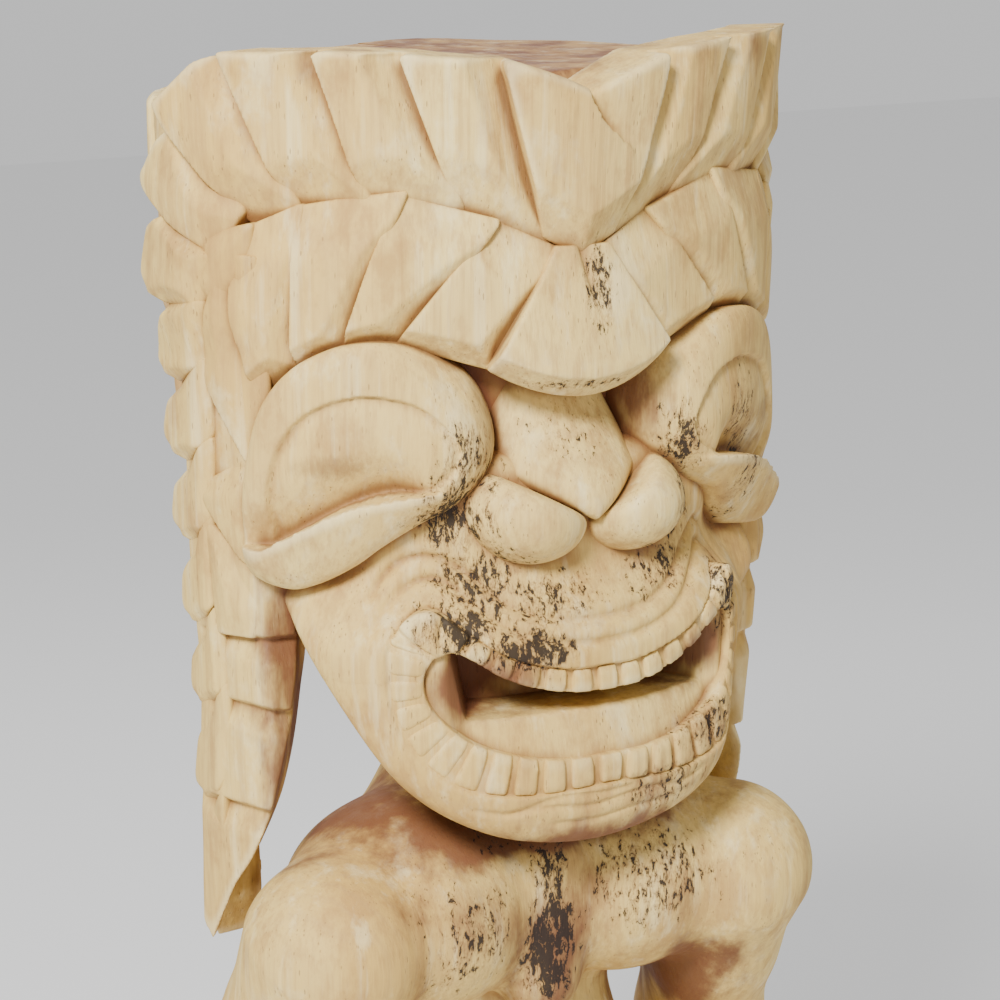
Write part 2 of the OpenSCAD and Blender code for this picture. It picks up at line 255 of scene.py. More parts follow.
def surface(field, first, step):
    """Closed quad mesh of a field's zero level, one point in each cell that it crosses."""
    field = np.pad(field.astype(np.float32), 1, constant_values=step)
    inside = field < 0
    near = [slice(0, -1), slice(1, None)]
    count = np.zeros([n - 1 for n in field.shape], np.int8)
    for c in CORNERS:
        count += inside[near[c[0]], near[c[1]], near[c[2]]]
    active = (count > 0) & (count < 8)
    number = np.full(active.shape, -1, np.int32)
    number[active] = np.arange(active.sum())
    cells = np.argwhere(active)
    total = np.zeros((len(cells), 3))
    hits = np.zeros(len(cells))
    for axis in range(3):
        for c in CORNERS:
            if c[axis]:
                continue
            a = cells + c
            b = a.copy()
            b[:, axis] += 1
            fa, fb = field[tuple(a.T)], field[tuple(b.T)]
            crossed = (fa < 0) != (fb < 0)
            t = np.where(crossed, fa / np.where(crossed, fa - fb, 1), 0)
            point = np.array(c, float)[None, :].repeat(len(cells), 0)
            point[:, axis] += t
            total += point * crossed[:, None]
            hits += crossed
    points = (cells + total / hits[:, None] - 1 + first) * step
    faces = []
    for axis in range(3):
        p, q = (axis + 1) % 3, (axis + 2) % 3
        ahead = np.roll(inside, -1, axis)
        cross = np.argwhere(inside != ahead)
        cross = cross[(cross[:, p] > 0) & (cross[:, q] > 0)]
        cross = cross[(cross < np.array(count.shape)).all(1)]
        ring = []
        for dp, dq in ((1, 1), (0, 1), (0, 0), (1, 0)):
            cell = cross.copy()
            cell[:, p] -= dp
            cell[:, q] -= dq
            ring.append(number[tuple(cell.T)])
        quad = np.stack(ring, 1)
        outward = inside[tuple(cross.T)]
        quad[~outward] = quad[~outward][:, ::-1]
        faces.append(quad)
    return points, np.vstack(faces)


PIECES = []                            # node, slot and meshes of every piece
SOLID_LOW = np.array([-210, -170, -10])
SOLID_HIGH = np.array([210, 170, 1010])
SOLID_FIRST = np.floor(SOLID_LOW / COARSE).astype(int)
SOLID = np.zeros(np.ceil(SOLID_HIGH / COARSE).astype(int) - SOLID_FIRST + 1, bool)


def note_solid(field, first, step):
    """Marks a solid in the figure-wide record of where there is wood."""
    skip = int(round(COARSE / step))
    wood = field[::skip, ::skip, ::skip] < 0
    at = first // skip - SOLID_FIRST
    SOLID[tuple(slice(a, a + n) for a, n in zip(at, wood.shape))] |= wood


def carve(name, slot, solids, mirrored=False):
    """Makes one piece from (block, field) pairs, or also its mirror image for the other side."""
    for side, sign in [("left_", 1), ("right_", -1)] if mirrored else [("", 1)]:
        meshes = []
        for g, field in solids:
            field = np.broadcast_to(field, (g.x.size, g.y.size, g.z.size))
            first = g.first.copy()
            if sign < 0:
                first[0] = -(first[0] + field.shape[0] - 1)
                field = field[::-1]
            note_solid(field, first, g.step)
            meshes.append(surface(field, first, g.step))
        PIECES.append((side + name, slot, meshes))


# --------------------------------------------------------------- headdress

def taper(z):
    """How far in from the log's surface the headdress has drawn, going down its sides."""
    return np.clip(930 - z, 0, 400) * 0.052


# How a plank's face meets one edge: drop at the edge's start and end, slope, growth past the edge
PROUD = (2.0, 2.5, 0.17, 0.0)         # falls a little towards an edge that overlaps the next plank
TUCKED = (6.0, 12.0, 0.62, 6.0)       # sinks under the neighbour, deeper towards the tip
TIP = (1.6, 1.6, 0.9, 0.0)            # softened end
CORNER = (3.0, 3.0, 0.8, 0.0)
FOOT = (9.5, 9.5, 0.42, 9.0)          # long bevel down to the tier line
LEAF_TOP = (0.5, 9.5, 0.75, 3.0)      # leaf's upper side, rising from the notch
LEAF_END = (8.0, 8.0, 0.20, 0.0)      # leaf's outer facet, turning to the back
LEAF_LOW = (6.0, 10.0, 0.60, 0.0)
LEAF_FOOT = (9.5, 0.5, 0.85, 0.0)     # leaf's underside, sinking into the notch below it
LEAF_BAND = (3.5, 3.5, 0.40, 4.0)     # where the leaves meet the groove beside the braid
BROW_IN = (0.5, 9.0, 0.68, 5.0)
BROW_END = (12.0, 12.0, 0.95, 0.0)
BROW_OUT = (1.6, 0.8, 0.14, 0.0)
BROW_TOP = (5.0, 5.0, 0.24, 5.0)


def plank(corners, bevels, thick, lift=0.0, rise=0.0, flat=0.6):
    """A flat-faced piece of the headdress with bevelled edges, drawn on the log's surface.

    corners are (s, z) round the plank, bevels say how the face falls at the edge that follows each
    corner, and the face lifts by rise from the lowest corner to the highest.
    """
    p = np.array(corners, float)
    low_z, high_z = p[:, 1].min(), p[:, 1].max()
    turns = turn_at(np.linspace(p[:, 0].min() - 6, p[:, 0].max() + 6, 9))
    ring = [((LOG_A + d) * math.sin(t), -(LOG_B + d) * math.cos(t))
            for t in turns for d in (-thick - 20, 8)]
    xs, ys = [q[0] for q in ring], [q[1] for q in ring]
    g = Block([min(xs), min(ys), low_z - 5], [max(xs), max(ys), min(high_z + 4, CROWN_TOP + 1.2)])
    s = g.s
    half = max((p[:, 0].max() - p[:, 0].min()) / 2, 10)
    middle = (p[:, 0].max() + p[:, 0].min()) / 2
    face = lift + rise * (g.z - low_z) / (high_z - low_z)
    face = face - flat * half ** 2 / 330 * (1 - np.clip(np.abs(s - middle) / half, 0, 1) ** 2)
    facets = [face]
    walls = []
    spin = np.sign(np.sum(p[:, 0] * np.roll(p[:, 1], -1) - np.roll(p[:, 0], -1) * p[:, 1]))
    for a, b, (start, end, slope, grow) in zip(p, np.roll(p, -1, 0), bevels):
        d = (b - a) / np.hypot(*(b - a))
        inward = ((s - a[0]) * -d[1] + (g.z - a[1]) * d[0]) * spin
        along = np.clip(((s - a[0]) * d[0] + (g.z - a[1]) * d[1]) / np.hypot(*(b - a)), 0, 1)
        facets.append(face - start - (end - start) * along + slope * inward)
        walls.append(-inward - grow)
    level = g.e + taper(g.z)
    top = meet([level - f for f in facets], 0.8)
    return g, meet([meet(walls, 2.5), top, -level - thick], 1.0)


def crown_shield():
    """The centre plank of the upper tier: two lobes with a notch between them."""
    g = Block([-58, -158, 892], [58, -100, CROWN_TOP + 1.2])
    s = g.s
    z = g.z
    side = (np.abs(s) - (22 + (z - 909) * 0.282)) * 0.962
    over = np.abs(s) / 46
    top = (z - 979 - 18 * np.clip(over, 0, 1) ** 0.75) * 0.85
    foot = (898 + 0.50 * np.abs(s) - z) * 0.9
    face = 3.0 + 0.035 * (z - 905) - 2.2 * over ** 2
    lap = s - 26 * np.clip((981 - z) / 30, 0, 1) ** 1.6 + 3
    dip = np.where(lap > 0, 5.5 * np.exp(-lap / 15.0), 0.0) * ease((z - 944) / 26)
    face = np.minimum(face - dip, face - 10.5 + 0.47 * (z - 899 - 0.50 * np.abs(s)))
    soften = np.minimum(face, face - 1.8 - 0.9 * top)
    return g, meet([meet([side, top], 6), foot, g.e - soften, -g.e - 30], 1.0)


def brow_shield():
    """The centre fan of the lower tier, with a short crease under the crown's point."""
    g = Block([-64, -164, 824], [64, -88, 910])
    s = g.s
    z = g.z
    side = (np.abs(s) - (17.5 + (903 - z) * 0.62)) * 0.85
    foot_z = 830 + 15 * (np.abs(s) / 52) ** 2
    face = 5.5 - 0.165 * np.clip(z - 846, 0, 80) - 1.5 * (np.abs(s) / 50) ** 2
    crease = s + 1 - 0.22 * (899 - z)
    face = face - np.where(crease > 0, 3.4 * np.exp(-crease / 7.0), 3.4 * np.exp(crease / 1.6)) \
        * ease((z - 866) / 26)
    face = np.minimum(face, face - 12 + 1.05 * (z - foot_z))
    return g, meet([side, foot_z - z, z - 905, g.e - face, -g.e - 48], 1.0)


CROWN_PLANKS = [
    ([(22, 906), (46, 996), (96, 999), (71, 929)], (TUCKED, TIP, PROUD, FOOT)),
    ([(71, 928), (96, 999), (142, 1000), (117, 928)], (TUCKED, TIP, PROUD, FOOT)),
    ([(117, 927), (142, 1000), (192, 999), (160, 927)], (TUCKED, TIP, PROUD, FOOT)),
    ([(159, 926), (191, 998), (206, 995), (236, 972), (231, 963), (190, 921)],
     (TUCKED, TIP, TIP, CORNER, PROUD, FOOT)),
    ([(189, 921), (228, 963), (247, 954), (263, 935), (261, 926), (243, 918), (205, 896)],
     (TUCKED, CORNER, LEAF_END, LEAF_END, CORNER, PROUD, (5, 5, 0.4, 4))),
]
BROW_PLANKS = [
    ([(18, 901), (53, 845), (102, 858), (53, 916)], (BROW_IN, BROW_END, BROW_OUT, BROW_TOP)),
    ([(53, 916), (102, 858), (131, 854), (101, 928)], (BROW_IN, BROW_END, BROW_OUT, BROW_TOP)),
    ([(101, 928), (131, 854), (158, 844), (155, 921)], (BROW_IN, BROW_END, BROW_OUT, BROW_TOP)),
    ([(155, 921), (158, 844), (184, 831), (191, 877), (191, 898), (180, 911)],
     (BROW_IN, BROW_END, BROW_OUT, BROW_OUT, BROW_TOP, BROW_TOP)),
]
LEAVES = [
    [(203, 898), (243, 917), (257, 910), (265, 890), (262, 878), (243, 872), (212, 875)],
    [(211, 875), (243, 871), (256, 859), (262, 845), (260, 837), (243, 832), (217, 845)],
    [(216, 845), (243, 831), (258, 820), (264, 806), (259, 796), (240, 791), (219, 805)],
    [(219, 805), (239, 791), (256, 778), (260, 762), (254, 753), (238, 749), (221, 763)],
    [(221, 763), (238, 748), (254, 731), (257, 716), (252, 708), (236, 706), (221, 720)],
    [(221, 720), (236, 705), (252, 690), (255, 674), (250, 665), (234, 663), (220, 675)],
    [(220, 675), (234, 662), (250, 644), (255, 622), (250, 614), (233, 610), (221, 625)],
]
BACK_COUNT = 6
BACK_START, BACK_STEP = 84, 16         # degrees round from the front
BACK_A, BACK_B = 164.0, 124.0          # the oval that the back of the headdress follows


def back_plank(i):
    """A plank of the crown's back, which follows a smaller oval."""
    turns = [math.radians(BACK_START + BACK_STEP * (i + k)) for k in (-0.1, 0.0, 1.0)]
    ends = [(BACK_A * math.sin(t), -BACK_B * math.cos(t)) for t in turns]
    xs, ys = [p[0] for p in ends], [p[1] for p in ends]
    g = Block([min(xs) - 34, min(ys) - 34, 912], [max(xs) + 4, max(ys) + 4, 976])
    turn = np.arctan2(g.x / BACK_A, -g.y / BACK_B)
    lean = (g.z - 945) * 0.0016
    u = (turn - turns[1] - lean) / (turns[2] - turns[1])
    size = (BACK_A + BACK_B) / 2 * (turns[2] - turns[1])
    face = meet([0 * u, 8 - 0.72 * u * size, 2.2 - 0.15 * (1 - u) * size,
                 8 - 0.45 * (g.z - 916), 2 - 0.9 * (969 - 0.6 * i - g.z)], 0.8)
    level = oval_distance(g.x, g.y, BACK_A, BACK_B) + face
    walls = meet([(-0.12 - u) * size, (u - 1) * size, 915 - g.z, g.z - 970 + 0.6 * i], 2.5)
    return g, meet([walls, level, -level - 26], 1.0)


def other_side(g, field):
    """The same solid on the other side of the figure."""
    twin = Block([-g.x.max(), g.y.min(), g.z.min()], [-g.x.min(), g.y.max(), g.z.max()], g.step)
    twin.first = g.first.copy()
    twin.first[0] = -(g.first[0] + g.x.size - 1)
    return twin, np.broadcast_to(field, (g.x.size, g.y.size, g.z.size))[::-1]


def make_headdress():
    carve("crown_shield", "cream_wood", [crown_shield()])
    carve("brow_shield", "cream_wood", [brow_shield()])
    carve("crown", "cream_wood", [plank(c, b, 30, rise=3.0 if i < 4 else 0.0)
                                  for i, (c, b) in enumerate(CROWN_PLANKS)], mirrored=True)
    carve("brow", "cream_wood", [plank(c, b, 46, lift=3.5, rise=-5.0) for c, b in BROW_PLANKS],
          mirrored=True)
    row = [back_plank(i) for i in range(BACK_COUNT)]
    carve("back_crown", "cream_wood", row + [other_side(*p) for p in row])


# --------------------------------------------------------------- head core

def head_column(g):
    return column(g, [
        [600, -14, 50, 46], [630, -14, 48, 45], [655, -13, 53, 47], [680, -9, 65, 53],
        [700, -5, 80, 64], [720, 1, 100, 78], [745, 4, 124, 94], [780, 5, 142, 103],
        [820, 2, 150, 108], [860, 0, 152, 111], [920, 0, 153, 113], [955, 0, 151, 112],
        [986, 0, 128, 98]])


FLUTE_COUNT = 9
FLUTE_STEP = math.radians(13.5)


def make_head():
    g = Block([-176, -136, 590], [176, 136, 992], COARSE)
    top = g.z - 984.0 + 1.2 * np.sin(g.x / 23.0) * np.cos(g.y / 31.0)
    carve("head_log", "stained_wood", [(g, meet([head_column(g), top, 600 - g.z], 2))])
    flutes = []
    for i in range(FLUTE_COUNT):
        k = i - (FLUTE_COUNT - 1) / 2
        a = math.pi + FLUTE_STEP * k
        low = 712 + 5.2 * abs(k) ** 1.6
        spine = [[(BACK_A - d) * math.sin(a), -(BACK_B - d) * math.cos(a), z, r]
                 for z, d, r in ((930, 17, 19), (860, 17, 20), (790, 20, 18.5), (low + 8, 32, 13))]
        xs, ys = [p[0] for p in spine], [p[1] for p in spine]
        g = Block([min(xs) - 24, min(ys) - 24, low - 12], [max(xs) + 24, max(ys) + 24, 946], COARSE)
        rope = limb(g, spine, 6)
        flutes.append((g, meet([rope, g.z - 922], 2)))
    carve("back_mane", "stained_wood", flutes)
    g = Block([-110, -90, 560], [110, 70, 660], COARSE)
    carve("neck", "stained_wood", [(g, column(g, [[570, -14, 74, 56], [588, -14, 60, 50],
                                                  [606, -14, 51, 47], [636, -14, 49, 46],
                                                  [650, -13, 52, 47]]))])


# -------------------------------------------------------------------- eyes

EYE_OUTLINE = rounded([(190, 744), (172, 735), (158, 737), (138, 746), (118, 758), (99, 768), (80, 775),
                       (62, 785), (50, 800), (48, 818), (56, 836), (74, 850), (94, 858), (115, 860),
                       (138, 856), (160, 845), (177, 826), (187, 800), (192, 770)])
LID_LINE = rounded([(178, 756), (174, 787), (165, 808), (152, 822), (137, 830), (115, 835), (93, 832),
                    (79, 823), (70, 809), (74, 796), (84, 789)], closed=False)
LID_CREST = rounded([(178, 756), (158, 767), (138, 776), (118, 782), (99, 785), (84, 787)], closed=False)


def eye_relief():
    """How far the eye stands out of the log's surface, drawn on the log."""
    inside = FACE.outline(EYE_OUTLINE)
    deep = 27 - 21 * ease((FACE.u - 62) / 52)
    ball = np.clip(inside / (32 - 18 * ease((FACE.u - 70) / 60)), 0, 1)
    relief = 1.0 - deep + deep * np.sqrt(1 - (1 - ball) ** 2.2)
    lens = FACE.outline(np.vstack([LID_LINE, LID_CREST[::-1]]))
    relief -= 3.8 * ease(lens / 1.2) * np.exp(-np.clip(lens, 0, None) / 12)
    above = FACE.above(LID_CREST)
    outer = ease((FACE.u - 84) / 26)
    hollow = np.where(above > 0, np.exp(-(np.clip(above, 0, None) / 16) ** 2), 0)
    relief -= 12.0 * outer * hollow * ease((204 - FACE.u) / 22)
    below = np.clip(-above, 0, 34)
    band = (above <= 0) * ease((FACE.u - 64) / 20)
    relief += band * (2.5 - 0.50 * np.clip(below - 4, 0, 30))
    return relief


def make_eyes():
    g = Block([26, -160, 722], [182, -10, 866])
    inside = FACE.on(g, FACE.outline(EYE_OUTLINE), g.s)
    relief = FACE.on(g, eye_relief(), g.s)
    recess = 8 * ease((80 - g.s) / 45)
    field = meet([-inside, g.e - relief + recess, -g.e - 58], 0.8)
    carve("eye", "cream_wood", [(g, field)], mirrored=True)


# -------------------------------------------------------------------- nose

def make_nose():
    """The broad bridge, and the two pillow-shaped nostrils cut off by its lower edges."""
    g = Block([-60, -166, 740], [60, -74, 850])
    x = np.abs(g.x)
    wing = (g.z - 765 - 0.58 * x) * 0.865
    front = -113 - 33 * ease((842 - g.z) / 84) + 0.008 * g.x ** 2
    half = np.where(g.z > 800, 28 + 10 * ease((842 - g.z) / 42), 38)
    side = (x - half) * 0.98
    rim = np.clip(np.minimum(-side, wing), 0, 13) / 13
    front = front + 10 * (1 - np.sqrt(1 - (1 - rim) ** 2))
    carve("nose_bridge", "cream_wood", [(g, meet([side, front - g.y, -wing, g.y + 80, g.z - 846], 1.0))])
    g = Block([-4, -166, 736], [74, -70, 810])
    wing = (g.z - 765 - 0.58 * g.x) * 0.865
    pillow = egg(g, (30, -112, 769), (34, 37, 27), lean=-14)
    pillow = meet([pillow, wing + 0.3, -g.x + 0.2], 4.5)
    carve("nostril", "cream_wood", [(g, pillow)], mirrored=True)


# ------------------------------------------------------------------- mouth

JAW_OUTLINE = rounded([(0, 595), (27, 597), (54, 603), (78, 614), (98, 629), (111, 643), (121, 660),
                       (133, 688), (141, 712), (146, 735), (148, 770), (140, 800), (0, 800), (-30, 800),
                       (-30, 595)])
GUM_LINE = rounded([(-20, 692), (0, 692), (20, 692), (43, 697), (59, 704), (74, 714), (88, 724),
                    (98, 727), (108, 722), (114, 712)], closed=False)
BITE_LINE = rounded([(-20, 679), (0, 679), (22, 680), (43, 685), (59, 692), (74, 702), (84, 706),
                     (92, 703)], closed=False)
RING_OUT = rounded([(114, 714), (116, 698), (115, 683), (111, 667), (100, 649), (80, 635), (50, 629),
                    (20, 629), (0, 630), (-20, 629)], closed=False)
RING_IN = rounded([(92, 705), (98, 694), (97, 682), (90, 671), (74, 658), (49, 649), (24, 645),
                   (0, 645), (-20, 645)], closed=False)
LIP_LINES = [[(-20, 705), (0, 705), (22, 706), (43, 711), (60, 720), (76, 731), (92, 739), (108, 737),
              (120, 726), (126, 708), (126, 686)],
             [(-20, 716), (0, 716), (22, 717), (43, 722), (60, 731), (76, 742), (94, 750), (113, 748),
              (127, 736), (134, 716), (134, 696)]]
CHIN_LINES = [[(-70, 617), (-40, 621), (-10, 619), (20, 623), (46, 621), (72, 628)],
              [(-40, 612), (-10, 611), (20, 614), (50, 613)],
              [(-84, 626), (-60, 620), (-30, 626), (0, 625), (34, 630)]]
UPPER_TEETH = 9
RING_TEETH = 12


def tooth_cuts(line, count, width, spread, middle):
    """1 in the cuts between teeth along a line; spread widens the teeth towards the line's end.

    One tooth is centred on the figure's middle, at the height given by middle.
    """
    _, share = FACE.line(line)
    length = np.hypot(*(line[1:] - line[:-1]).T).sum()
    phase = count * share * (1 + spread * (1 - share))
    phase = phase - phase[-FACE.u0, middle - FACE.z0] + 0.5
    off = np.abs(phase - np.round(phase)) * length / count
    return np.clip(1 - off / width, 0, 1)


def mouth_drawings():
    """The two teeth bands and the opening between them, as signed distances on the log."""
    upper = FACE.outline(np.vstack([GUM_LINE, BITE_LINE[::-1]]))
    lower = FACE.outline(np.vstack([RING_OUT, RING_IN[::-1]]))
    opening = FACE.outline(np.vstack([BITE_LINE, RING_IN]))
    return upper, lower, opening


def mass_of_muzzle(g):
    """Cheeks, lips and chin as one rounded mass."""
    inside = FACE.on(g, FACE.outline(JAW_OUTLINE), np.abs(g.x))
    round_over = 13 * (1 - np.sqrt(np.clip(1 - (1 - np.clip(inside / 20, 0, 1)) ** 2, 0, 1)))
    z = g.z
    lip = -20 * ease((z - 702) / 46)
    chin = -4 * ease((636 - z) / 40)
    cheek = -7 * ease((np.abs(g.s) - 108) / 50) * ease((z - 690) / 30)
    surface_level = 1.0 + lip + chin + cheek - round_over
    tuck = np.clip(g.y + 60, 0, 60) * 0.45
    undercut = 0.59 * (np.abs(g.x) - 100) + 0.628 * (g.y + 112) - 0.507 * (z - 620)
    return meet([meet([-(inside - tuck), undercut, g.y - 8], 7), g.e - surface_level], 3)


def lip_relief():
    """Carved lines round the lips, as depths on the log."""
    depth = np.zeros((FACE.u.size, FACE.z.size))
    for line in LIP_LINES:
        gap, share = FACE.line(rounded(line, closed=False))
        depth += 3.4 * np.exp(-(gap / 2.4) ** 1.4) * (1 - 0.8 * ease((share - 0.72) / 0.28))
    return depth


def chin_relief(g):
    """Wavy lines carved across the chin, read on a block."""
    sheet = Sheet(-100, 100, 600, 660)
    depth = np.zeros((sheet.u.size, sheet.z.size))
    for line in CHIN_LINES:
        gap, share = sheet.line(rounded(line, closed=False))
        depth += 1.8 * np.exp(-(gap / 1.4) ** 2) * ease(share / 0.15) * ease((1 - share) / 0.15)
    return sheet.on(g, depth, np.clip(g.s, -99, 99)) * ease((636 - g.z) / 6)


def make_mouth():
    upper, lower, opening = mouth_drawings()
    g = Block([-156, -164, 594], [156, 14, 802])
    across = np.abs(g.s)
    mass = mass_of_muzzle(g)
    up, low, gape = (FACE.on(g, d, across) for d in (upper, lower, opening))
    lips = FACE.on(g, lip_relief(), across)
    front = ease((-40 - g.y) / 20)
    mass = mass + (lips + chin_relief(g)) * front
    corner = ease((across - 62) / 26)
    bands = np.maximum(up, low)
    mass = mass + (3.2 - 1.6 * corner) * ease((bands + 1.2) / 1.2) * front
    mass = cut(mass, meet([-gape - 0.5, -g.e - 46, -front + 0.5], 2))
    above = g.z - 668 - 26 * ease((across - 84) / 30)
    carve("upper_lip", "pale_wood", [(g, np.maximum(mass, 0.4 * (-above - 5)))])
    carve("lower_jaw", "pale_wood", [(g, np.maximum(mass + 0.1, 0.4 * (above - 5)))])
    make_teeth(g, across, corner, "upper_teeth", upper, BITE_LINE, GUM_LINE, UPPER_TEETH, 0.0, 686)
    make_teeth(g, across, corner, "lower_teeth", lower, RING_IN, RING_OUT, RING_TEETH, 0.17, 637)
    make_tongue()


def make_teeth(g, across, corner, name, band, inner, outer, count, spread, middle):
    """One row of teeth in its band, with cuts that grow shallower towards the mouth's corners."""
    n = min(len(inner), len(outer))
    pick = [line[np.linspace(0, len(line) - 1, n).astype(int)] for line in (inner, outer)]
    cuts = tooth_cuts(0.5 * (pick[0] + pick[1]), count, 2.5, spread, middle)
    inside = FACE.on(g, band, across)
    gaps = FACE.on(g, cuts, across)
    plump = 1.8 * np.clip(inside / 4, 0, 1) ** 0.6
    level = -1.2 + plump - (7.0 - 3.6 * corner) * gaps
    carve(name, "cream_wood", [(g, meet([-inside, g.e - level, -g.e - 20], 0.8))])


def make_tongue():
    """The sloped gum and floor behind the lower teeth, which rise at the mouth's corners."""
    g = Block([-112, -150, 630], [112, -40, 716])
    corner = ease((np.abs(g.s) - 77) / 12)
    gum = g.e + 5.6 + 0.26 * (g.z - 646) * (1 - corner) - 0.6 * corner
    floor = g.z - 667 - 0.03 * (g.y + 140) - 48 * corner
    inside = (np.abs(g.s) - 99) * 0.9
    carve("tongue", "cream_wood", [(g, meet([gum, floor, inside, 634 - g.z, -g.e - 70], 2.4))])


# ----------------------------------------------------------------- lappets

SOFT = (3.0, 3.0, 0.30, 2.0)           # gentle fall on the braid's outer side
BRAID = [
    ([(193, 901), (207, 870), (215, 836), (191, 795), (181, 812), (185, 838), (192, 878)],
     (SOFT, SOFT, PROUD, PROUD, (3, 3, 0.4, 3), (4, 4, 0.4, 3), (4, 1, 0.4, 2))),
    ([(214, 838), (222, 800), (223, 776), (199, 746), (186, 742), (186, 800), (192, 797)],
     (SOFT, SOFT, PROUD, PROUD, (4, 4, 0.4, 3), (4, 4, 0.4, 3), (1.0, 6.0, 0.38, 3))),
    ([(222, 778), (220, 744), (219, 706), (196, 706), (190, 740), (200, 747)],
     (SOFT, SOFT, PROUD, (2, 2, 0.4, 3), (3, 3, 0.4, 3), (5.5, 1.0, 0.38, 3))),
]
TAIL = [(220, 626), (234, 610), (251, 590), (254, 566), (243, 534), (226, 560), (223, 600)]
HEAD_OF_BRAID = [(180, 914), (206, 908), (215, 884), (198, 872), (184, 888)]
GROOVES = ((705, 0.04), (667, 0.20), (612, 0.22))


def level_row(g, heights, values):
    """A value that changes with height along a smooth curve."""
    return smooth_row(g.z.ravel(), np.array(heights, float), np.array(values, float))[None, None, :]


def lappet_body():
    """The lappet's core: flat front blocks below the eye, and a plain inner side."""
    g = Block([112, -98, 530], [184, 40, 905])
    z = g.z
    inner = level_row(g, [530, 545, 567, 588, 618, 670, 693, 740, 800, 905],
                      [166, 165, 160, 148, 136, 127, 124, 124, 132, 146])
    outer = level_row(g, [530, 538, 560, 600, 660, 740, 905], [164, 165, 165, 164, 164, 167, 171])
    front = level_row(g, [530, 560, 600, 660, 740, 800, 905], [-36, -50, -59, -63, -65, -72, -84])
    back = level_row(g, [530, 560, 640, 905], [-22, 0, 20, 26])
    x = g.x
    sunk = np.zeros_like(x + z)
    for at, lean in GROOVES:
        gap = (z - at - (x - 145) * lean - 3 * ease((x - 158) / -10) * ease((x - 150) / 12)) * 0.98
        sunk = np.maximum(sunk, np.where(gap < 0, 5.0 + 0.36 * gap, 5.0 - 2.2 * gap))
    split = 0.16 * np.clip(x - 147, 0, 40) + 0.05 * np.clip(147 - x, 0, 40)
    face = front + sunk + split - g.y
    chamfer = (inner + 7 - x) * 0.80 + (front + 4 - g.y) * 0.60
    wall_in = (inner - x - 0.40 * np.clip(g.y - front, 0, 44)) * 0.93
    side = (x - outer + 0.30 * np.clip(-28 - g.y, 0, 40) + 0.75 * np.clip(g.y + 14, 0, 60)) * 0.88
    return g, meet([face, chamfer, wall_in, side, g.y - back, 534 - z, z - 902,
                    g.e + taper(z) + 2.5 + sunk * ease((740 - z) / 20)], 1.2)


def make_lappets():
    solids = []
    for corners in LEAVES:
        solids.append(plank(corners, (LEAF_TOP, CORNER, LEAF_END, LEAF_LOW, LEAF_LOW, LEAF_FOOT,
                                      LEAF_BAND), 34, lift=1.5))
    for corners, bevels in BRAID:
        solids.append(plank(corners, bevels, 24, lift=1.0, flat=0.0))
    solids.append(plank(HEAD_OF_BRAID, ((3, 3, 0.4, 3),) * 5, 22, lift=-1.0))
    solids.append(plank(TAIL, ((0.5, 6, 0.6, 3), CORNER, LEAF_END, LEAF_END, PROUD, PROUD, LEAF_BAND),
                        26, lift=1.0))
    carve("lappet", "pale_wood", solids + [lappet_body()], mirrored=True)


# -------------------------------------------------------------------- body

def body_shapes(g):
    """Every limb's solid on one block; the chest is folded, so both its sides are alike."""
    h = SimpleNamespace(x=np.abs(g.x), y=g.y, z=g.z)
    pec = egg(h, (63, -51, 546), (69, 65, 59))
    trap = bone(h, (18, -16, 575), (100, -60, 554), 34, 36)
    rib = column(g, [[470, -10, 74, 58], [500, -10, 84, 60], [540, -8, 96, 66], [566, -12, 84, 58],
                     [588, -14, 62, 50], [606, -14, 51, 46]])
    sternum = bone(h, (0, -78, 568), (0, -80, 504), 25, 23)
    chest = melt([melt([rib, trap], 18), melt([pec, sternum], 16)], 9)
    belly = column(g, [[360, -18, 84, 66], [385, -22, 92, 80], [410, -26, 92, 84], [435, -22, 86, 78],
                       [460, -16, 79, 66], [484, -12, 76, 60], [510, -10, 78, 58]])
    hips = column(g, [[254, 0, 30, 36], [280, 2, 62, 54], [305, 2, 88, 68], [330, 0, 101, 75],
                      [352, -4, 100, 76], [374, -8, 92, 72]])
    arm = limb(h, [[122, -78, 541, 48], [131, -53, 493, 37], [143, -22, 433, 35]], 14)
    fore = limb(h, [[142, -26, 430, 33], [130, -55, 404, 33], [107, -86, 372, 27]], 12)
    thigh = limb(h, [[60, 0, 320, 60], [82, -40, 272, 58], [96, -66, 228, 50]], 16)
    calf = limb(h, [[96, -56, 212, 44], [101, -12, 168, 49], [95, 4, 122, 37], [92, 8, 92, 33]], 16)
    return {"chest": chest, "belly": belly, "loincloth": hips, "upper_arm": arm, "forearm": fore,
            "thigh": thigh, "calf": calf}


SEAMS = {"chest": ("belly", "upper_arm"), "belly": ("chest", "loincloth"),
         "loincloth": ("belly", "thigh"), "upper_arm": ("chest", "forearm"),
         "forearm": ("upper_arm",), "thigh": ("loincloth", "calf"), "calf": ("thigh",)}
PAIRED = ("upper_arm", "forearm", "thigh", "calf")
MELT = {frozenset(("chest", "upper_arm")): 12, frozenset(("chest", "belly")): 8,
        frozenset(("belly", "loincloth")): 3, frozenset(("loincloth", "thigh")): 6,
        frozenset(("upper_arm", "forearm")): 12, frozenset(("thigh", "calf")): 10}


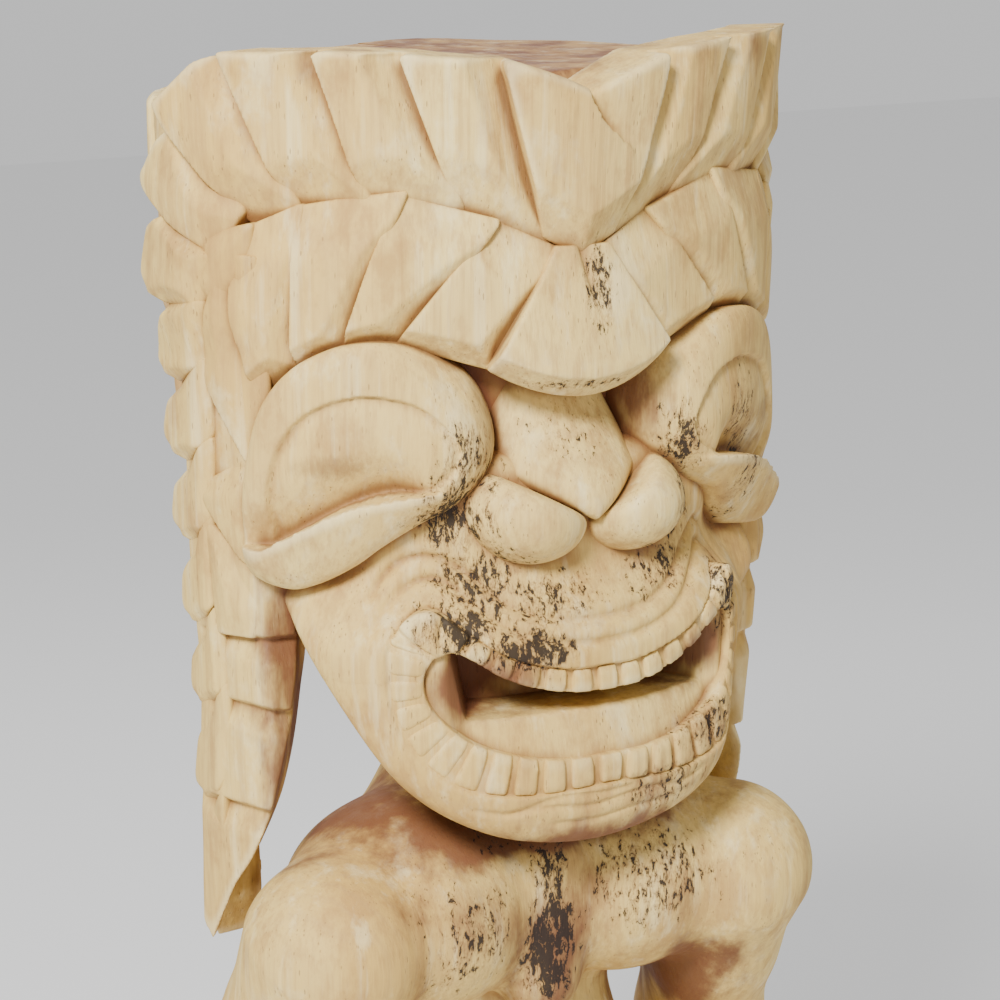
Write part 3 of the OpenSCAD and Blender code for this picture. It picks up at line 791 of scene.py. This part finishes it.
def make_body():
    boxes = {"chest": ([-140, -130, 462], [140, 80, 622]), "belly": ([-112, -124, 352], [112, 76, 520]),
             "loincloth": ([-116, -96, 244], [116, 92, 382]),
             "upper_arm": ([60, -140, 388], [186, 34, 602]),
             "forearm": ([66, -130, 336], [184, 20, 476]), "thigh": ([-2, -126, 172], [154, 70, 388]),
             "calf": ([38, -112, 52], [158, 66, 262])}
    for name, (low, high) in boxes.items():
        g = Block(low, high, FINE if name in ("chest", "upper_arm") else COARSE)
        shapes = body_shapes(g)
        own = shapes[name]
        whole = own
        for other in SEAMS[name]:
            k = MELT[frozenset((name, other))]
            joined = blend2(own, shapes[other], k)
            past = (own - shapes[other]) / 2
            whole = np.minimum(whole, joined + 0.6 * np.clip(past, 0, None))
        if name in PAIRED:
            whole = np.maximum(whole, -g.x - 0.3)
        if name == "loincloth":
            whole = whole + 2.4 * np.exp(-((g.z - 364) / 2.2) ** 2)
        slot = "stained_wood" if name == "loincloth" else "pale_wood"
        carve(name, slot, [(g, whole)], mirrored=name in PAIRED)
    make_hands()
    make_feet()


def make_hands():
    g = Block([50, -140, 296], [128, -64, 392], FINE)
    palm = egg(g, (90, -98, 354), (30, 22, 26))
    fingers = []
    for k in (-1.5, -0.5, 0.5, 1.5):
        fingers.append(limb(g, [[88 + k * 13, -108, 352, 9], [83 + k * 12.5, -116, 332, 8.5],
                                [78 + k * 12, -116, 312, 7.2]], 3))
    hand = melt([palm, melt(fingers, 1.5)], 6)
    thumb = limb(g, [[70, -100, 362, 9], [60, -102, 342, 8]], 3)
    carve("hand", "cream_wood", [(g, melt([hand, thumb], 4))], mirrored=True)


def make_feet():
    g = Block([42, -122, 48], [150, 70, 120], FINE)
    heel = egg(g, (92, 22, 82), (35, 38, 32))
    ball = egg(g, (97, -64, 72), (43, 32, 19))
    instep = bone(g, (92, 4, 92), (96, -52, 76), 29, 19)
    toes = []
    for k in range(-2, 3):
        size = 11.5 - 0.6 * (k + 2)
        tip_y = -100 + 4 * abs(k + 0.5)
        toes.append(limb(g, [[97 + k * 16, -76, 71, size], [97 + k * 16, tip_y, 68, size - 1]], 2))
    foot = melt([heel, ball, instep], 14)
    foot = melt([foot, melt(toes, 1.2)], 3)
    carve("foot", "cream_wood", [(g, meet([foot, 56 - g.z], 1))], mirrored=True)


BASE_A, BASE_B, BASE_TOP = 180, 150, 58     # half width, half depth and height of the plinth


def make_base():
    g = Block([-190, -156, -4], [190, 156, 66], COARSE)
    turn = np.arctan2(g.x / BASE_A, -g.y / BASE_B)
    facet = 0.9 * np.abs(np.sin(turn * 19 + 0.7 * np.sin(turn * 5)))
    wall = oval_distance(g.x, g.y, BASE_A, BASE_B) + facet
    top = g.z - BASE_TOP + 0.5 * np.sin(g.x / 17.0 + 1) * np.sin(g.y / 13.0)
    bevel = (wall + g.z - BASE_TOP + 6) * 0.7071
    carve("base_plinth", "stained_wood", [(g, meet([wall, top, bevel, 0.01 - g.z], 1.0))])


# ------------------------------------------------------- marks in the wood, and painted shade

def spread_solid(radius):
    """Share of wood in a cube around every point of the figure."""
    share = SOLID.astype(np.float32)
    n = max(1, int(round(radius / COARSE)))
    for _ in range(2):
        for axis in range(3):
            pad = [(n + 1, n) if a == axis else (0, 0) for a in range(3)]
            run = np.cumsum(np.pad(share, pad, mode="edge"), axis)
            size = share.shape[axis]
            share = (np.take(run, range(2 * n + 1, 2 * n + 1 + size), axis)
                     - np.take(run, range(0, size), axis)) / (2 * n + 1)
    return share


def read_at(volume, points):
    """Reads a figure-wide volume at points, between its samples."""
    p = points / COARSE - SOLID_FIRST
    p = np.clip(p, 0, np.array(volume.shape) - 1.001)
    i = p.astype(int)
    f = p - i
    total = np.zeros(len(points))
    for a, b, c in CORNERS:
        w = np.abs(1 - a - f[:, 0]) * np.abs(1 - b - f[:, 1]) * np.abs(1 - c - f[:, 2])
        total += w * volume[i[:, 0] + a, i[:, 1] + b, i[:, 2] + c]
    return total


def blobs(points, rows):
    """Soft patches, each [x, y, z, reach x, reach y, reach z, strength]."""
    total = np.zeros(len(points))
    for x, y, z, rx, ry, rz, strength in rows:
        d = ((points - [x, y, z]) / [rx, ry, rz]) ** 2
        total = np.maximum(total, strength * np.exp(-d.sum(1)))
    return total


SPALT_AND_SHADE = [[-62, -122, 802, 20, 40, 26, 1.2], [-74, -120, 772, 22, 40, 24, 1.4],
         [-60, -130, 738, 26, 40, 20, 1.3], [-78, -126, 716, 26, 40, 14, 1.3],
         [-44, -140, 704, 30, 30, 12, 1.4], [-26, -140, 728, 34, 30, 16, 1.0],
         [58, -130, 760, 16, 40, 24, 1.3], [90, -115, 712, 18, 40, 22, 1.4],
         [44, -130, 735, 26, 30, 22, 1.0], [6, -146, 886, 9, 30, 20, 1.3],
         [-8, -140, 838, 44, 30, 4, 1.0], [34, -140, 622, 44, 30, 16, 0.85],
         [66, -130, 645, 34, 30, 14, 1.0], [-4, -110, 566, 14, 40, 28, 1.4],
         [-6, -110, 526, 17, 40, 32, 2.1], [-62, -100, 548, 36, 40, 34, 0.95],
         [52, -110, 558, 50, 40, 34, 0.90], [-4, -130, 812, 40, 30, 22, 0.55],
         [62, -120, 800, 14, 40, 22, 1.3], [110, -110, 806, 16, 40, 30, 0.8],
         # the first patch on the next line, under the chin, is painted shadow laid as black specks
         [-16, -100, 590, 40, 50, 9, 1.2], [116, -96, 772, 20, 40, 34, 0.9]]
# reddish brown patches: in part the wood's own stain, in part painted shade in the mouth, beside the
# nose, between the lappets and the jaw, under the chin, in the armpits and in the crease between arm and
# chest
BROWN_AND_SHADE = [[-46, -104, 822, 13, 30, 28, 1.2], [46, -104, 822, 16, 30, 30, 1.3],
         [0, -80, 594, 92, 80, 17, 1.7], [-76, -40, 596, 58, 60, 20, 1.0],
         [-136, -52, 702, 16, 26, 50, 1.3], [-114, -48, 654, 22, 32, 42, 1.4],
         [118, -64, 700, 14, 26, 40, 0.9], [102, -50, 652, 18, 30, 36, 1.2],
         [-60, -106, 688, 28, 34, 20, 1.9], [60, -106, 688, 28, 34, 20, 1.7],
         [0, -95, 686, 74, 26, 13, 1.3], [0, 0, 992, 170, 130, 14, 1.0],
         [-86, -60, 498, 26, 44, 36, 1.2], [92, -60, 490, 34, 60, 52, 1.3],
         [0, -120, 480, 60, 50, 44, 0.9], [-8, -120, 534, 34, 60, 48, 0.95],
         [-140, -50, 640, 14, 30, 80, 0.9],
         [-70, -110, 555, 60, 60, 30, 0.42], [60, -110, 550, 60, 60, 36, 0.42],
         [0, 0, 300, 200, 160, 240, 0.30], [108, -100, 800, 30, 40, 44, 0.5],
         [34, -140, 622, 60, 30, 22, 0.42], [-92, -90, 528, 12, 40, 40, 0.8]]
SMUDGE = [[-126, -100, 799, 24, 40, 8, 1.1], [140, -90, 798, 20, 40, 10, 1.1]]


def hand_drift(p):
    """Slow wander of the carver's hand: the headdress sits turned a little to the figure's right."""
    x, y, z = p.T
    out = np.zeros_like(p)
    out[:, 0] = 0.9 * np.sin(z / 41 + 0.6) * np.cos(x / 63 + 0.4) + 0.4 * np.sin(z / 17 + x / 23)
    out[:, 1] = 0.9 * np.sin(x / 37 + 1.1) * np.cos(z / 29) + 0.3 * np.sin(x / 13 + z / 19)
    out[:, 2] = 0.9 * np.sin(x / 47 + 2.0) * np.cos(y / 51) + 0.3 * np.sin(x / 19 - y / 15)
    turn = np.arctan2(x / LOG_A, -y / LOG_B)
    s = arc_length(turn)
    shift = (-11.5 * ease((z - 735) / 105) + 3.5 * ease((720 - z) / 80)) * ease((z - 590) / 20)
    right = ease((215 + s) / 110) * (s < 0)
    left = 1.0 * (s >= 0)
    far = ease((s - 72) / 58) * (x > 0)
    jaw = far * ease((168 - s) / 14) * ease((z - 600) / 30) * ease((775 - z) / 40)
    lappet = ease((s - 158) / 14) * (x > 0) * ease((z - 560) / 60) * ease((760 - z) / 40)
    crest = ease((-s - 140) / 50) * ease((z - 845) / 30)
    out[:, 0] += (shift * (right * np.cos(turn) + left * (1 - far)) - 9.5 * far * ease((z - 560) / 60)
                  - 7.0 * jaw + 8.0 * lappet - 5.5 * crest)
    out[:, 1] += shift * right * np.sin(turn) * LOG_B / LOG_A
    return out * ease((z - 62) / 20)[:, None] * ease((1003 - z) / 6)[:, None]


def build_objects(material_of):
    small, large = spread_solid(5.0), spread_solid(17.0)
    for node, slot, meshes in PIECES:
        starts = np.cumsum([0] + [len(p) for p, _ in meshes])
        points = np.vstack([p for p, _ in meshes])
        faces = np.vstack([f + start for (_, f), start in zip(meshes, starts)])
        # cavity and hollow tell how much wood surrounds each point, at two sizes: the materials turn them
        # into painted shade in creases and hollows, and cavity also into worn pale edges
        marks = {"cavity": read_at(small, points) - 0.5, "hollow": read_at(large, points) - 0.5,
                 "spalt_and_shade": blobs(points, SPALT_AND_SHADE), "brown": blobs(points, BROWN_AND_SHADE),
                 "smudge": blobs(points, SMUDGE)}
        moved = (points + hand_drift(points)) * MM
        mesh = bpy.data.meshes.new("carved_" + node)
        mesh.vertices.add(len(moved))
        mesh.vertices.foreach_set("co", moved.astype(np.float32).ravel())
        mesh.loops.add(faces.size)
        mesh.loops.foreach_set("vertex_index", faces.astype(np.int32).ravel())
        mesh.polygons.add(len(faces))
        mesh.polygons.foreach_set("loop_start", np.arange(0, faces.size, 4, dtype=np.int32))
        mesh.update(calc_edges=True)
        mesh.validate()
        for mark, values in marks.items():
            layer = mesh.attributes.new(mark, "FLOAT", "POINT")
            layer.data.foreach_set("value", values.astype(np.float32))
        mesh.shade_smooth()
        mesh.materials.append(material_of[slot])
        obj = bpy.data.objects.new("carved_" + node, mesh)
        bpy.context.scene.collection.objects.link(obj)
        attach(obj, "root")
        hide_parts(node)


# --------------------------------------------------------------- materials

class Nodes:
    """Short way to write a material's node tree."""

    def __init__(self, name):
        self.material = bpy.data.materials.new(name)
        self.material.use_nodes = True
        self.tree = self.material.node_tree
        self.tree.nodes.clear()

    def add(self, kind, values=None, links=None, **settings):
        node = self.tree.nodes.new(kind)
        for key, value in settings.items():
            setattr(node, key, value)
        for key, value in (values or {}).items():
            node.inputs[key].default_value = value
        for key, source in (links or {}).items():
            self.tree.links.new(source, node.inputs[key])
        return node

    def math(self, operation, a, b=None, clamp=False):
        node = self.add("ShaderNodeMath", operation=operation, use_clamp=clamp)
        for i, source in enumerate((a, b)):
            if source is None:
                continue
            if isinstance(source, (int, float)):
                node.inputs[i].default_value = source
            else:
                self.tree.links.new(source, node.inputs[i])
        return node.outputs[0]

    def span(self, source, low, high, to_low=0.0, to_high=1.0, smooth=True):
        kind = "SMOOTHSTEP" if smooth else "LINEAR"
        node = self.add("ShaderNodeMapRange", {"From Min": low, "From Max": high, "To Min": to_low,
                                               "To Max": to_high}, {"Value": source},
                        interpolation_type=kind)
        return node.outputs["Result"]

    def noise(self, vector, scale, detail=4.0, rough=0.55, distort=0.0):
        return self.add("ShaderNodeTexNoise", {"Scale": scale, "Detail": detail, "Roughness": rough,
                                               "Distortion": distort}, {"Vector": vector}).outputs[0]

    def stretch(self, vector, factors, offset=(0, 0, 0)):
        return self.add("ShaderNodeMapping", {"Scale": factors, "Location": offset},
                        {"Vector": vector}).outputs[0]

    def mix(self, factor, a, b, blend="MIX"):
        node = self.add("ShaderNodeMix", data_type="RGBA", blend_type=blend)
        for socket, source in ((node.inputs[0], factor), (node.inputs[6], a), (node.inputs[7], b)):
            if isinstance(source, bpy.types.NodeSocket):
                self.tree.links.new(source, socket)
            else:
                socket.default_value = source
        return node.outputs[2]

    def lay_tone(self, colour, mask, strength, tone):
        """Lays a named tone over a colour where a mask is high."""
        return self.mix(self.math("MULTIPLY", mask, strength), colour, shade(*TONES[tone]))

    def uneven(self, source, noise, amount):
        """A mark whose strength wanders with a noise."""
        return self.math("ADD", source, self.math("MULTIPLY", self.math("SUBTRACT", noise, 0.5), amount))

    def mark(self, name):
        return self.add("ShaderNodeAttribute", attribute_name=name).outputs["Fac"]


def shade(r, g, b):
    """Linear colour from display values between 0 and 255."""
    return tuple((c / 255 / 12.92) if c <= 10 else ((c / 255 + 0.055) / 1.055) ** 2.4
                 for c in (r, g, b)) + (1.0,)


# the crease and hollow tones are painted shade; the reddish brown and the black spalt tones are also laid
# as painted shade in recesses and under the chin
TONES = {"fibre": (168, 130, 76), "mottle": (170, 130, 72), "bleached": (232, 214, 164),
         "dark streak": (166, 128, 74), "light streak": (236, 218, 168), "ring": (172, 140, 96),
         "pore": (150, 116, 78), "crease": (122, 76, 38), "worn": (234, 216, 166),
         "hollow": (128, 82, 46), "brown": (106, 60, 38), "spalt edge": (122, 84, 54),
         "spalt_and_shade": (26, 20, 18), "smudge": (122, 84, 46)}
RELIEF = 0.0013            # deepest mark that the grain leaves on the surface, metres


def wood(name, pale, warm, crease_shade_gain):
    """Pale hardwood between two base colours; the last argument scales the painted shade in creases and
    hollows.
    """
    n = Nodes(name)
    at = n.add("ShaderNodeTexCoord").outputs["Object"]
    broad = n.noise(n.stretch(at, (1, 1, 0.45)), 7.0, 3.0)
    streak = n.noise(n.stretch(at, (1, 1, 0.05)), 95.0, 4.0, 0.6)
    fibre = n.noise(n.stretch(at, (1, 1, 0.035)), 420.0, 3.0, 0.6)
    colour = n.mix(n.span(broad, 0.35, 0.68), pale, warm)
    colour = n.lay_tone(colour, n.span(fibre, 0.46, 0.68), 0.34, "fibre")
    mottle = n.noise(n.stretch(at, (1, 1, 0.6)), 30.0, 5.0, 0.68)
    colour = n.lay_tone(colour, n.span(mottle, 0.48, 0.68), 0.66, "mottle")
    colour = n.lay_tone(colour, n.span(mottle, 0.46, 0.30), 0.45, "bleached")
    colour = n.lay_tone(colour, n.span(streak, 0.50, 0.70), 0.45, "dark streak")
    colour = n.lay_tone(colour, n.span(streak, 0.46, 0.28), 0.40, "light streak")
    # growth rings round the pith
    rings = n.add("ShaderNodeTexWave", {"Scale": 34.0, "Distortion": 5.0, "Detail": 3.0,
                                        "Detail Scale": 1.4},
                  {"Vector": n.stretch(at, (1, 1.15, 0.10), (0.012, 0.02, 0))},
                  wave_type="RINGS", rings_direction="Z").outputs["Fac"]
    colour = n.lay_tone(colour, n.span(rings, 0.62, 0.96), 0.12, "ring")
    # pores
    pore_cells = n.add("ShaderNodeTexVoronoi", {"Scale": 520.0, "Randomness": 1.0},
                       {"Vector": n.stretch(at, (1, 1, 0.16))}, feature="F1").outputs["Distance"]
    pore_where = n.noise(n.stretch(at, (1, 1, 0.3)), 60.0, 2.0)
    pores = n.math("MULTIPLY", n.span(pore_cells, 0.20, 0.08), n.span(pore_where, 0.42, 0.62))
    colour = n.lay_tone(colour, pores, 0.6, "pore")
    # painted shade: tan in the creases and darker tan in wider hollows, where much wood surrounds a
    # point; worn pale edges
    blotch = n.noise(at, 26.0, 4.0, 0.6)
    cavity = n.uneven(n.mark("cavity"), blotch, 0.22)
    colour = n.lay_tone(colour, n.span(cavity, 0.02, 0.24), 0.80 * crease_shade_gain, "crease")
    colour = n.lay_tone(colour, n.span(cavity, -0.10, -0.26), 0.4, "worn")
    hollow = n.uneven(n.mark("hollow"), blotch, 0.3)
    colour = n.lay_tone(colour, n.span(hollow, 0.10, 0.40), 0.60 * crease_shade_gain, "hollow")
    # reddish brown: the wood's own stain in places, and painted shade in the deep recesses such as the
    # mouth and under the chin
    brown_noise = n.noise(n.stretch(at, (1, 1, 0.35)), 38.0, 5.0, 0.62)
    brown = n.uneven(n.mark("brown"), brown_noise, 1.9)
    colour = n.lay_tone(colour, n.span(brown, 0.22, 0.90), 0.92, "brown")
    # black spalting specks; the patch under the chin is painted shadow
    speck = n.noise(n.stretch(at, (1, 1, 0.40)), 300.0, 6.0, 0.75, 0.3)
    patch = n.noise(n.stretch(at, (1, 1, 0.5)), 42.0, 3.0, 0.6)
    zone = n.uneven(n.mark("spalt_and_shade"), patch, 1.5)
    limit = n.span(zone, 0.15, 1.5, 0.66, 0.44, smooth=False)
    spots = n.span(n.math("SUBTRACT", speck, limit), 0.0, 0.03)
    spots = n.math("MULTIPLY", spots, n.span(n.mark("spalt_and_shade"), 0.12, 0.4))
    ghost = n.span(n.math("SUBTRACT", speck, limit), -0.12, 0.0)
    ghost = n.math("MULTIPLY", ghost, n.span(n.mark("spalt_and_shade"), 0.15, 0.8))
    colour = n.lay_tone(colour, ghost, 0.55, "spalt edge")
    colour = n.lay_tone(colour, spots, 0.92, "spalt_and_shade")
    smudge = n.uneven(n.mark("smudge"), speck, 1.2)
    colour = n.lay_tone(colour, n.span(smudge, 0.30, 1.1), 0.55, "smudge")
    # relief
    height = n.math("ADD", n.math("MULTIPLY", streak, 0.45), n.math("MULTIPLY", fibre, 0.30))
    height = n.math("SUBTRACT", height, n.math("MULTIPLY", pores, 0.35))
    height = n.math("SUBTRACT", height, n.math("MULTIPLY", spots, 0.35))
    height = n.math("ADD", height, n.math("MULTIPLY", n.noise(at, 60.0, 2.0), 0.5))
    bump = n.add("ShaderNodeBump", {"Strength": 0.75, "Distance": RELIEF}, {"Height": height})
    rough = n.span(streak, 0.3, 0.7, 0.62, 0.78)
    body = n.add("ShaderNodeBsdfPrincipled", {"Specular IOR Level": 0.28},
                 {"Base Color": colour, "Roughness": rough, "Normal": bump.outputs[0]})
    out = n.add("ShaderNodeOutputMaterial")
    n.tree.links.new(body.outputs[0], out.inputs["Surface"])
    return n.material


def make_materials():
    return {"pale_wood": wood("pale_wood", shade(216, 186, 110), shade(196, 158, 84), 1.0),
            "cream_wood": wood("cream_wood", shade(222, 194, 120), shade(204, 168, 92), 1.0),
            "stained_wood": wood("stained_wood", shade(186, 146, 86), shade(156, 110, 60), 1.25)}


# --------------------------------------------------- camera, light and floor

CAMERA_TURN = math.radians(-30)    # round to the figure's right of straight ahead
CAMERA_FAR = 1.600                 # metres from the figure's axis
CAMERA_HIGH = 1.130
CAMERA_PITCH = 0.2353              # radians below level
CAMERA_YAW = -0.0128
LENS, SENSOR = 110.1, 36.0         # mm
FLOOR_SIZE = 14.0                  # metres
FLOOR_GREY = 0.9
SKY_STRENGTH = 0.70
LIGHTS = {"key": ((-1.5, -1.4, 2.2), 0.6, 122), "rim": ((0.8, 1.9, 1.9), 1.2, 10)}    # place, size, watts
LIT_POINT = (0, 0, 0.8)            # where the lights aim


def stand(name, data, place, ahead):
    """Puts a camera or light in its place, looking ahead."""
    obj = bpy.data.objects.new(name, data)
    bpy.context.scene.collection.objects.link(obj)
    obj.location = place
    obj.rotation_euler = ahead.to_track_quat("-Z", "Y").to_euler()
    return obj


def make_camera():
    data = bpy.data.cameras.new("camera")
    data.lens = LENS
    data.sensor_width = SENSOR
    place = (CAMERA_FAR * math.sin(CAMERA_TURN), -CAMERA_FAR * math.cos(CAMERA_TURN), CAMERA_HIGH)
    look = CAMERA_TURN + CAMERA_YAW
    ahead = Vector((-math.sin(look) * math.cos(CAMERA_PITCH), math.cos(look) * math.cos(CAMERA_PITCH),
                    -math.sin(CAMERA_PITCH)))
    bpy.context.scene.camera = stand("camera", data, place, ahead)


def add_light(name, place, size, power):
    data = bpy.data.lights.new(name, "AREA")
    data.shape = "DISK"
    data.size = size
    data.energy = power
    stand(name, data, place, Vector(LIT_POINT) - Vector(place))


def make_studio():
    bpy.ops.mesh.primitive_plane_add(size=FLOOR_SIZE)
    floor = bpy.context.object
    floor.name = "floor"
    n = Nodes("floor_paper")
    body = n.add("ShaderNodeBsdfPrincipled", {"Base Color": (FLOOR_GREY,) * 3 + (1,), "Roughness": 0.9})
    n.tree.links.new(body.outputs[0], n.add("ShaderNodeOutputMaterial").inputs["Surface"])
    floor.data.materials.append(n.material)
    world = bpy.data.worlds.new("studio")
    bpy.context.scene.world = world
    world.use_nodes = True
    world.node_tree.nodes["Background"].inputs[0].default_value = (1, 1, 1, 1)
    world.node_tree.nodes["Background"].inputs[1].default_value = SKY_STRENGTH
    for name, (place, size, power) in LIGHTS.items():
        add_light(name, place, size, power)


make_camera()
make_studio()
make_headdress()
make_head()
make_eyes()
make_nose()
make_mouth()
make_lappets()
make_body()
make_base()
build_objects(make_materials())
